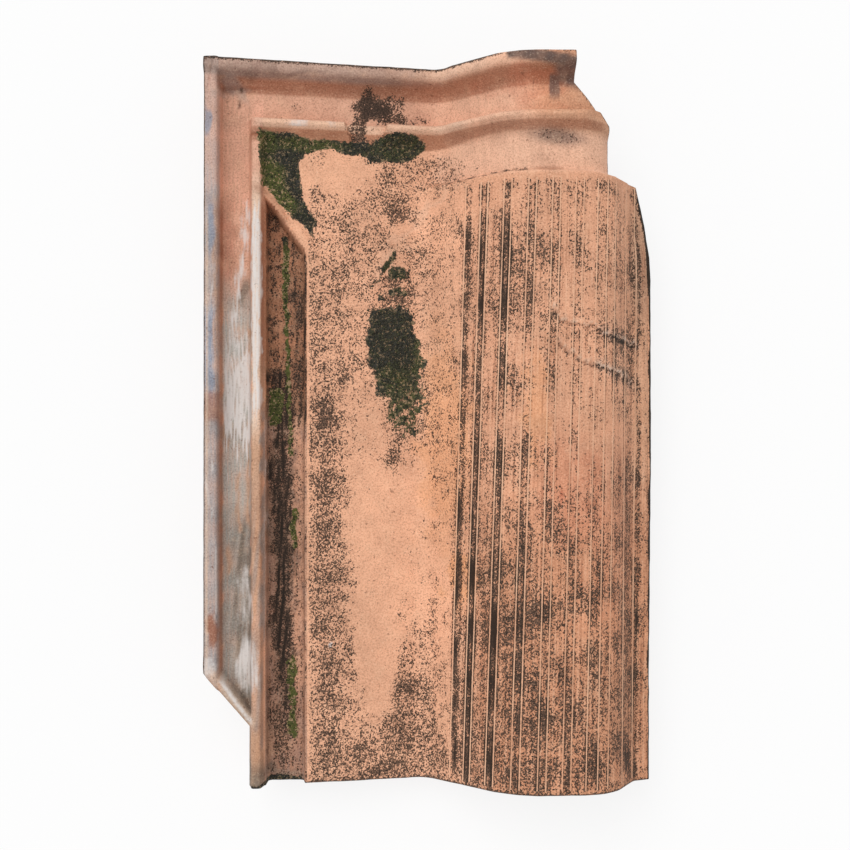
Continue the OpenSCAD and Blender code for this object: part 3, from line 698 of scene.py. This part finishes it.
def clay_tint(x, y):
    """Colour of the face under its growth: tones laid one over another, painted shade among them, with
    slow drifts.
    """
    u, v = ragged(x, y, 4.0, 180)
    body = fall(y, 357, 361)
    drain = window(x, 35.6, 59.6, 0.7) * drain_depth(x, y)
    # Painted shade on the rib slopes that face the foot, below the crests of the second rib and of the
    # head rib
    shaded_slopes = 0.66 * window(y, 381.5 + 3.5 * ramp(x, 130, 170), 388.5, 1.5) * window(x, 30, 234, 6)
    shaded_slopes = shaded_slopes + 0.7 * window(y, 412, 420.5, 2.0) * window(x, 10, 214, 4)
    lay = [
        ("roll", ramp(u, 142, 170) * body),
        ("tan", 0.55 * ramp(x, 252, 259) * body),
        ("umber", 0.35 * spot(x, y, 260, 318, 8, 44)),
        ("low", 0.85 * ramp(u, 150, 175) * fall(v, 110, 215) * body),
        ("glow", 0.35 * spot(u, v, 142, 205, 16, 70) + 0.3 * spot(u, v, 193, 222, 9, 40)
         + 0.55 * spot(u, v, 151, 122, 7, 18)),
        ("red", 0.3 * spot(u, v, 212, 175, 22, 36) + 0.18 * spot(u, v, 238, 150, 20, 60)),
        ("red", 0.8 * spot(x, y, 207, 171, 1.5, 4.5)),
        ("pale", tear_share(x, y, 1.4) * (0.3 + 0.45 * wander(x, y, 2.8, 14))),
        # Painted shadow in the furrow below each tear
        ("rust_and_shade", 0.6 * tear_share(x, y + FURROW, 0.7)),
        ("sage", 0.5 * tear_share(x, y, 2.6, 4) * (0.6 + 0.5 * wander(x, y, 3.0, 12))),
        ("pale", 0.25 * brush(u, v, HOLLOW_RIM, 3.0)),
        ("neck", ramp(y, 357, 361) * ramp(u, 128, 150)),
        ("head", ramp(y, 393, 396)),
        ("neck", 0.8 * ramp(y, 393, 396) * ramp(u, 122, 150)),
        ("low", 0.8 * ramp(x, 176, 204) * ramp(y, 384, 394)),
        ("tan", 0.45 * ramp(x, 192, 214) * window(y, 384, 414, 4)),
        *lock_stains_and_shade(x, y),
        ("rust_and_shade", shaded_slopes),
        ("rust_and_shade", 0.45 * spot(x, y, 201, 361.5, 10, 2.0)),
        # Grey-brown painted shade in front of the second rib at the right
        ("smoke_and_shade", 0.7 * spot(x, y, 207, 380, 19, 5.4, -6, 0.7)),
        ("rust_and_shade", 0.4 * brush(x, y, RIDGE_LINE[:3], 2.4)),
        ("pale", 0.5 * window(y, 390, 394.6, 0.8) * window(x, 36, 150, 10)),
        ("pale", 0.35 * window(y, 421.5, 427.5, 1.2) * ramp(x, 100, 150) * fall(x, 160, 175)),
        ("ash", 0.55 * window(y, 419.5, 428.5, 1.5) * fall(u, 80, 160)),
        ("soot", 0.3 * spot(u, v, 46, 423.5, 36, 3.5)),
        ("red", 0.28 * spot(u, v, 190, 412, 30, 9)),
        ("smoke_and_shade", 0.95 * soot_cover(x, y)),
        ("ash", 0.5 * spot(u, v, 17, 411, 9, 6)),
        ("soot", 0.8 * spot(x, y, 21, 413, 1.2, 1.6) + 0.8 * spot(x, y, 20, 405, 1.0, 2.2)),
        ("drain", 0.92 * drain),
        # Painted shade on the drain's floor by its two walls
        ("mould_and_shade", 0.42 * drain * patch(u, v, SHADE_PAN_SIDE, 6.0)),
        ("mould_and_shade", 0.3 * drain * patch(u, v, SHADE_RIB_SIDE, 6.0)),
        ("ash", 0.5 * drain * fall(v, 205, 235) * (0.4 + 0.6 * streak(x, y, 2.2, 193))),
        ("mould_and_shade", 0.4 * drain * patch(u, v, DRAIN_STAIN, 6.0)),
        ("pan", 0.45 * drain * window(u, 52.5, 58.5, 1.5) * window(v, 60, 214, 12)),
        ("dun", 0.7 * drain * spot(u, v, 41, 22, 6, 18)),
        ("umber", 0.6 * spot(u, v, 45, 2, 13, 5)),
        ("pan", 0.75 * window(x, 60.2, 63.4, 0.8) * (y < 318))]
    tint = np.broadcast_to(srgb(*CLAY_TONES["pan"]), x.shape + (3,))
    for name, share in lay:
        tint = tint + (srgb(*CLAY_TONES[name]) - tint) * unit(share)[..., None]
    drift = 1.0 + 0.06 * wander(x, y, 70.0, 190) + 0.05 * wander(x, y, 16.0, 191)
    drift = drift + 0.1 * (streak(x, y, 2.5, 192) - 0.5) * ramp(x, 146, 156)
    return tint * drift[..., None]


# Meshes

def crowded(length, places, fine, coarse, reach, count):
    """Count stations along a length, closer together at places: even steps of a summed density."""
    at = np.linspace(0, length, 8001)
    bell = np.exp(-((at[:, None] - np.asarray(places)) / reach) ** 2).max(1)
    density = 1.0 / coarse + (1.0 / fine - 1.0 / coarse) * bell
    total = np.concatenate(([0.0], np.cumsum((density[1:] + density[:-1]) / 2)))
    return np.interp(np.linspace(0, total[-1], count), total, at)


def row_frame(x, y, z):
    """Points on the tile as rows of metres in the row frame."""
    return np.stack((x - TILE_W / 2, y - TILE_L / 2, z - FOOT_LEVEL), -1).reshape(-1, 3) * MM


def grid_faces(index, flip=False):
    """Quads between neighbouring entries of an index grid, facing up, or down if flipped."""
    q = np.stack((index[:-1, :-1], index[:-1, 1:], index[1:, 1:], index[1:, :-1]), -1).reshape(-1, 4)
    return q[:, ::-1] if flip else q


def side_faces(top, low, stride):
    """Six-cornered faces of a side: stride edges of the top line over one edge of the lower line."""
    first = np.arange(0, len(top) - 1, stride)
    return np.column_stack([low[:-1], low[1:]] + [top[first + stride - k] for k in range(stride + 1)])


def add_object(name, data):
    """A new object in the scene."""
    made = bpy.data.objects.new(name, data)
    bpy.context.scene.collection.objects.link(made)
    return made


def add_piece(name, points, faces, layers):
    """A mesh object from points and face arrays, with values per point as attributes."""
    mesh = bpy.data.meshes.new(name)
    mesh.from_pydata(points, [], [f for group in faces for f in group.tolist()])
    for label, values in layers.items():
        kind = "FLOAT_COLOR" if values.ndim > 1 else "FLOAT"
        data = mesh.attributes.new(label, kind, "POINT").data
        data.foreach_set("color" if values.ndim > 1 else "value", values.astype(np.float32).ravel())
    return add_object(name, mesh)


def tidy_mesh(mesh, sharp):
    """Merges the columns that the outline has drawn together, and shades smooth up to an angle."""
    work = bmesh.new()
    work.from_mesh(mesh)
    bmesh.ops.remove_doubles(work, verts=work.verts, dist=1e-6)
    work.to_mesh(mesh)
    work.free()
    mesh.shade_smooth()
    mesh.set_sharp_from_angle(angle=math.radians(sharp))


# The lower face has every third column and row. Columns and rows crowd at ribs, edges and rests.
STRIDE = 3
COLUMN_PLACES = [0, 1.5, 5, 8, 10, 13, 17, 21, 25, 28, 30.5, 33, 35.5, 60, 264, *COMB_BURRS[:, 0],
                 44, 70, 99, 116, 142, 151]
ROW_PLACES = [0.5, 4, 14, 357, 360, 381, 386, 390.5, 395.5, 411, 414, 417.5, 422, 428.5,
              48, 54, 60, 246, 252, 258, 264, 270, 276, 322, 330, 338, 346, 352]
COLUMNS = crowded(TILE_W, COLUMN_PLACES, 0.42, 1.75, 1.1, STRIDE * 121 + 1)
COLUMNS[np.abs(COLUMNS[:, None] - COMB_BURRS[:, 0]).argmin(0)] = COMB_BURRS[:, 0]
ROWS = crowded(TILE_L, ROW_PLACES, 0.75, 2.4, 2.2, STRIDE * 78 + 1)


def make_tile():
    """Weather face and lower face on one grid of columns and rows, with the sides between them."""
    s, y = np.meshgrid(COLUMNS, ROWS)
    x, z = weather_face(s, y)
    top = np.arange(s.size).reshape(s.shape)
    sl, yl = s[::STRIDE, ::STRIDE], y[::STRIDE, ::STRIDE]
    xl = inside(sl, yl)
    low = top.size + np.arange(sl.size).reshape(sl.shape)
    points = np.concatenate((row_frame(x, y, z), row_frame(xl, yl, lower_face(xl, yl))))
    faces = [grid_faces(top), grid_faces(low, flip=True),
             side_faces(top[0], low[0], STRIDE), side_faces(top[:, -1], low[:, -1], STRIDE),
             side_faces(top[-1, ::-1], low[-1, ::-1], STRIDE),
             side_faces(top[::-1, 0], low[::-1, 0], STRIDE)]
    shares = {"lichen_and_shade": (lichen_and_shade_cover(s, x, y), 0.15), "moss": (moss_cover(x, y), 0.0),
              "green": (moss_green(x, y), 0.0), "lime": (lime_cover(x, y), 0.0),
              "column": (s, 0.0), "combed": (combed_share(s, x, y), 0.0),
              "burr": (burr_gap(s, y), 9.0), "line": (line_share(s, y), 0.0)}
    layers = {label: np.append(share, np.full(low.size, below))
              for label, (share, below) in shares.items()}
    tint_below = np.tile(srgb(*CLAY_TONES["lock"]), (low.size, 1))
    tint = np.vstack((clay_tint(x, y).reshape(-1, 3), tint_below))
    layers["tint"] = np.column_stack((tint, np.ones(len(tint))))
    return add_piece("clay_tile", points, faces, layers)


# Moss tufts: how many, where they may grow, the corners of a ring, and rings as (reach, height)
TUFT_COUNT = 5200
TUFT_FROM, TUFT_TO = (31, 1), (136, 390)
TUFT_SIDES = 6
TUFT_RINGS = np.array([(1.0, -0.4), (0.8, 0.5)])
DRY_FROM = 0.78


def make_moss(count):
    """Low round tufts where the moss grows: rings of a squashed dome, closed by a tip and a base."""
    draw = rng.uniform(TUFT_FROM, TUFT_TO, (count * 16, 2))
    cover = moss_cover(*draw.T)
    x, y = draw[rng.random(len(draw)) < unit(cover * 1.5 - 0.5)][:count].T
    _, z = weather_face(x, y)
    dry = rng.random(len(x))
    size = rng.uniform(0.35, 0.8, len(x)) * (0.7 + 0.4 * moss_cover(x, y))
    size = size * (1.0 - 0.35 * (dry > DRY_FROM))
    corners = np.linspace(0, 2 * np.pi, TUFT_SIDES, endpoint=False)
    turn = rng.uniform(0, 2 * np.pi, (len(x), 1, 1)) + corners
    wobble = rng.uniform(0.7, 1.3, (len(x), len(TUFT_RINGS), TUFT_SIDES))
    reach = size[:, None, None] * TUFT_RINGS[:, :1] * wobble
    lift = size[:, None, None] * (TUFT_RINGS[:, 1:] * 0.8 + 0.12 * (wobble - 1.0))
    ring = np.stack((x[:, None, None] + reach * np.cos(turn), y[:, None, None] + reach * np.sin(turn),
                     z[:, None, None] + lift), -1).reshape(len(x), -1, 3)
    tip = np.stack((x, y, z + size * 0.7), -1)[:, None]
    points = np.concatenate((ring, tip), 1)
    per_tuft = points.shape[1]
    first = np.arange(len(x))[:, None] * per_tuft
    k, n = np.arange(TUFT_SIDES), np.roll(np.arange(TUFT_SIDES), -1)
    sides = np.stack((k, n, TUFT_SIDES + n, TUFT_SIDES + k), -1)
    caps = np.stack((TUFT_SIDES + k, TUFT_SIDES + n, np.full_like(k, per_tuft - 1)), -1)
    faces = [(first[:, :, None] + sides).reshape(-1, 4), (first[:, :, None] + caps).reshape(-1, 3),
             first + k[::-1]]
    green = unit(moss_green(x, y) + rng.uniform(-0.25, 0.25, len(x)))
    layers = {"green": np.repeat(green, per_tuft), "dry": np.repeat(dry, per_tuft)}
    return add_piece("moss_tufts", row_frame(*points.reshape(-1, 3).T), faces, layers)


# Finishes

MATT_SHINE = 0.12


class Share:
    """One shader value. Python operators on it add Math nodes."""

    def __init__(self, finish, socket):
        self.finish, self.socket = finish, socket

    def math(self, operation, *values):
        return self.finish.node("Math", {"operation": operation}, dict(enumerate(values)))

    def __add__(self, other):
        return self.math("ADD", self, other)

    def __sub__(self, other):
        return self.math("SUBTRACT", self, other)

    def __rsub__(self, other):
        return self.math("SUBTRACT", other, self)

    def __mul__(self, other):
        return self.math("MULTIPLY", self, other)

    __radd__, __rmul__ = __add__, __mul__

    def between(self, low, high):
        """Smooth step of the value from low to high, which may be values themselves."""
        sockets = {"Value": self, "From Min": low, "From Max": high}
        return self.finish.node("MapRange", {"interpolation_type": "SMOOTHSTEP"}, sockets)


class Finish:
    """The node tree of a material or of the world, with its one shader."""

    def __init__(self, owner, shader="Principled BSDF"):
        self.owner = owner
        self.owner.use_nodes = True
        self.tree = owner.node_tree
        self.shader = self.tree.nodes[shader]
        self.place = self.node("TexCoord", {}, {}, "Object")

    def node(self, kind, settings, sockets, out=0):
        """Adds a shader node: first its settings, then the values or links of its sockets."""
        made = self.tree.nodes.new("ShaderNode" + kind)
        for name, value in settings.items():
            setattr(made, name, value)
        for name, value in sockets.items():
            self.join(made.inputs[name], value)
        return Share(self, made.outputs[out])

    def join(self, socket, value):
        """Links a value to a socket, or sets the socket."""
        if isinstance(value, Share):
            self.tree.links.new(value.socket, socket)
        else:
            socket.default_value = value

    def layer(self, name, out="Fac"):
        """A value that the mesh carries on its points."""
        return self.node("Attribute", {"attribute_name": name}, {}, out)

    def noise(self, size_mm, detail=2.0, rough=0.5, stretch=None):
        """Noise with grains of about that size, drawn out by stretch along the axes if given."""
        place = self.place
        if stretch:
            place = self.node("Mapping", {}, {"Vector": place, "Scale": stretch})
        sockets = {"Vector": place, "Scale": 1000.0 / size_mm, "Detail": detail, "Roughness": rough}
        return self.node("TexNoise", {}, sockets, "Fac")

    def cells(self, size_mm):
        """A random value for each of the cells that small grains leave between them."""
        sockets = {"Vector": self.place, "Scale": 1000.0 / size_mm}
        return self.node("TexVoronoi", {}, sockets, "Color")

    def drawn(self, column, width_mm, length_mm):
        """Noise drawn out along the comb: grains of that width across columns and of that length."""
        along = self.node("SeparateXYZ", {}, {"Vector": self.place}, "Y")
        place = {"X": column * (1.0 / width_mm), "Y": along * (1000.0 / length_mm)}
        sockets = {"Vector": self.node("CombineXYZ", {}, place), "Scale": 1.0, "Detail": 2.0}
        return self.node("TexNoise", {}, sockets, "Fac")

    def mix(self, share, first, second):
        """Colour from first to second by a share."""
        return self.node("Mix", {"data_type": "RGBA"}, {0: share, 6: first, 7: second}, 2)

    def wear(self, color, rough, bump, depth_mm):
        """Feeds the shader: colour, roughness and a bump of that depth."""
        lifted = self.node("Bump", {}, {"Height": bump, "Distance": depth_mm * MM})
        for name, value in (("Base Color", color), ("Roughness", rough), ("Normal", lifted)):
            self.join(self.shader.inputs[name], value)
        self.shader.inputs["Specular IOR Level"].default_value = MATT_SHINE
        return self.owner

    def seen(self):
        """1 for rays that show the stage: from the camera, a mirror or through a pane, else 0."""
        straight, mirrored, through = (self.node("LightPath", {}, {}, f"Is {kind} Ray")
                                       for kind in ("Camera", "Glossy", "Transmission"))
        return straight.math("MAXIMUM", straight.math("MAXIMUM", straight, mirrored), through)


# Tones of grain, wear and growth, with painted highlight and painted shade, as seen
GROWTH_TONES = {
    "grain_shade": (96, 62, 48), "grain_light": (255, 226, 196), "blot": (244, 200, 166),
    "pit": (118, 76, 58), "lime": (224, 218, 214), "thread_dark": (150, 94, 68),
    "thread_light": (240, 194, 162), "burr": (232, 192, 160), "dust": (142, 98, 78),
    "lichen_and_shade_black": (33, 31, 28), "lichen_and_shade_brown": (120, 94, 78), "mat_black": (63, 62, 56),
    "mat_green": (98, 102, 58), "mat_gap": (36, 38, 35), "mat_dry": (176, 148, 116),
    "tuft_black": (63, 62, 55), "tuft_green": (98, 102, 56), "tuft_dark": (34, 36, 33),
    "tuft_dry": (184, 154, 118), "tuft_shade": (26, 28, 26)}


def tone(name):
    """A tone of the growth, for a socket."""
    return (*srgb(*GROWTH_TONES[name]), 1.0)


def weathered_clay():
    """Fired clay under its growth: grain and pores, then lime, burr crests with painted highlight,
    specks of lichen and painted shade, and moss.
    """
    f = Finish(bpy.data.materials.new("weathered_clay"))
    grain, pore, blot = f.noise(1.0, 2.0, 0.6), f.noise(2.4, 2.0), f.noise(9.0, 3.0, 0.6)
    color = f.layer("tint", "Color")
    color = f.mix(0.75 * grain.between(0.56, 0.26), color, f.mix(0.5, color, tone("grain_shade")))
    color = f.mix(0.55 * grain.between(0.54, 0.76), color, f.mix(0.45, color, tone("grain_light")))
    color = f.mix(0.3 * blot.between(0.5, 0.72), color, f.mix(0.5, color, tone("blot")))
    pits = pore.between(0.69, 0.73) * 0.5
    color = f.mix(pits, color, tone("pit"))
    crust = f.noise(1.6, 3.0, 0.65) * 0.5 + f.noise(4.0, 3.0, 0.6, (3.0, 0.3, 1.0)) * 0.5
    bloom = (f.layer("lime") + crust * 0.9 - 0.45).between(0.2, 0.9)
    color = f.mix(bloom * 0.9, color, tone("lime"))
    gap, line, combed = f.layer("burr"), f.layer("line"), f.layer("combed")
    thread = f.drawn(f.layer("column"), 1.3, 60.0)
    color = f.mix(combed * thread.between(0.54, 0.7) * 0.5, color, tone("thread_dark"))
    color = f.mix(combed * thread.between(0.46, 0.3) * 0.3, color, tone("thread_light"))
    # Paler burr crests: a painted highlight on the comb's burrs, which also clears their specks
    crest = gap.between(0.5, 0.18)
    color = f.mix(crest * (0.2 + 0.45 * line), color, tone("burr"))
    # These specks are lichen and painted shade: the shadows below the tears, in the drain and along the
    # edges
    speck = f.cells(0.72) * 0.4 + f.noise(0.9, 1.0) * 0.22 + f.noise(4.6, 3.0, 0.6) * 0.38
    cover = f.layer("lichen_and_shade") + combed * (thread - 0.5) * 0.55
    cover = cover + line * gap.between(1.4, 0.7) * 0.34 - crest * 0.9
    edge = 0.765 - cover * 0.46
    lichen_and_shade = speck.between(edge - 0.030, edge + 0.050)
    dust = f.noise(1.1, 1.0).between(0.72 - cover * 0.26, 0.78 - cover * 0.26)
    color = f.mix(dust * 0.55, color, tone("dust"))
    fleck = f.noise(0.75, 1.0).between(0.42, 0.66) * cover.between(1.1, 0.8)
    color = f.mix(lichen_and_shade * 0.95, color, f.mix(fleck, tone("lichen_and_shade_black"), tone("lichen_and_shade_brown")))
    mat, leaf = f.noise(0.9, 2.0, 0.6), f.cells(1.2)
    moss = (f.layer("moss") + leaf * 0.3 + f.noise(3.0, 2.0) * 0.7 - 0.5).between(0.44, 0.54)
    green = f.layer("green")
    moss_tone = f.mix(green, tone("mat_black"), tone("mat_green"))
    moss_tone = f.mix(leaf.between(0.34, 0.22) * 0.8, moss_tone, tone("mat_gap"))
    moss_tone = f.mix(leaf.between(0.66, 0.74) * (0.42 + 0.48 * green), moss_tone, tone("mat_dry"))
    color = f.mix(moss, color, moss_tone)
    rough = 0.8 + 0.14 * moss - 0.1 * grain
    bump = grain * 0.3 + lichen_and_shade * 0.35 + bloom * 0.25 + moss * mat * 1.2 - pits * 0.8
    return f.wear(color, rough, bump, 0.45)


def growing_moss():
    """Moss: near black to green by place, with some tufts dry and pale."""
    f = Finish(bpy.data.materials.new("growing_moss"))
    leaf, green = f.noise(0.7, 2.0, 0.6), f.layer("green")
    color = f.mix(green, tone("tuft_black"), tone("tuft_green"))
    dry = f.layer("dry")
    color = f.mix(dry.between(0.4, 0.0) * 0.7, color, tone("tuft_dark"))
    color = f.mix(dry.between(0.74, 0.82) * (0.34 + 0.56 * green), color, tone("tuft_dry"))
    color = f.mix(leaf.between(0.5, 0.3) * 0.5, color, tone("tuft_shade"))
    return f.wear(color, 0.95 - 0.1 * leaf, leaf, 0.3)


tile = make_tile()
tidy_mesh(tile.data, 42)
tile.data.materials.append(weathered_clay())
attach(tile, "root")
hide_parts("roof_tile")

moss = make_moss(TUFT_COUNT)
moss.data.shade_smooth()
moss.data.materials.append(growing_moss())
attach(moss, "root")

# Stage
FLOOR_CORNERS = [(-9, -9, 0), (9, -9, 0), (9, 9, 0), (-9, 9, 0)]
FLOOR_GLOW = 0.82
FLOOR_COLOR = (0.88, 0.88, 0.88, 1)
WHITE = (1, 1, 1, 1)
WORLD_LIGHT, WORLD_SEEN = 0.66, 0.34
CAMERA_PLACE = (-0.04027, -0.02064, 0.91986)
CAMERA_TURNS = ((-0.0211955, "X"), (0.0431343, "Y"), (0.0020731, "Z"))

floor_mesh = bpy.data.meshes.new("floor")
floor_mesh.from_pydata(FLOOR_CORNERS, [], [(0, 1, 2, 3)])
floor = add_object("floor", floor_mesh)
pale = Finish(bpy.data.materials.new("pale_floor"))
glow = pale.node("Emission", {}, {"Color": WHITE, "Strength": 1.0}, "Emission")
pale.shader.inputs["Base Color"].default_value = FLOOR_COLOR
pale.shader.inputs["Roughness"].default_value = 0.9
lit = Share(pale, pale.shader.outputs[0])
above = pale.node("MixShader", {}, {0: pale.seen() * FLOOR_GLOW, 1: lit, 2: glow}, "Shader")
clear = pale.node("BsdfTransparent", {}, {}, "BSDF")
below = pale.node("NewGeometry", {}, {}, "Backfacing")
one_sided = pale.node("MixShader", {}, {0: below, 1: above, 2: clear}, "Shader")
pale.join(pale.tree.nodes["Material Output"].inputs["Surface"], one_sided)
floor_mesh.materials.append(pale.owner)

studio = Finish(bpy.data.worlds.new("studio"), "Background")
studio.shader.inputs["Color"].default_value = WHITE
studio.join(studio.shader.inputs["Strength"], WORLD_LIGHT + WORLD_SEEN * studio.seen())
bpy.context.scene.world = studio.owner

lamp = bpy.data.lights.new("soft_lamp", "SUN")
lamp.energy = 1.45
lamp.angle = math.radians(40)
lamp_object = add_object("soft_lamp", lamp)
lamp_object.rotation_euler = (math.radians(-28), math.radians(-22), 0)

lens = bpy.data.cameras.new("camera")
lens.sensor_width, lens.lens = 36.0, 62.6
camera = add_object("camera", lens)
turns = [Matrix.Rotation(angle, 3, axis) for angle, axis in CAMERA_TURNS]
tilt = turns[0] @ turns[1] @ turns[2]
camera.matrix_world = Matrix.Translation(CAMERA_PLACE) @ tilt.transposed().to_4x4()
bpy.context.scene.camera = camera
bpy.context.scene.view_settings.view_transform = "Standard"
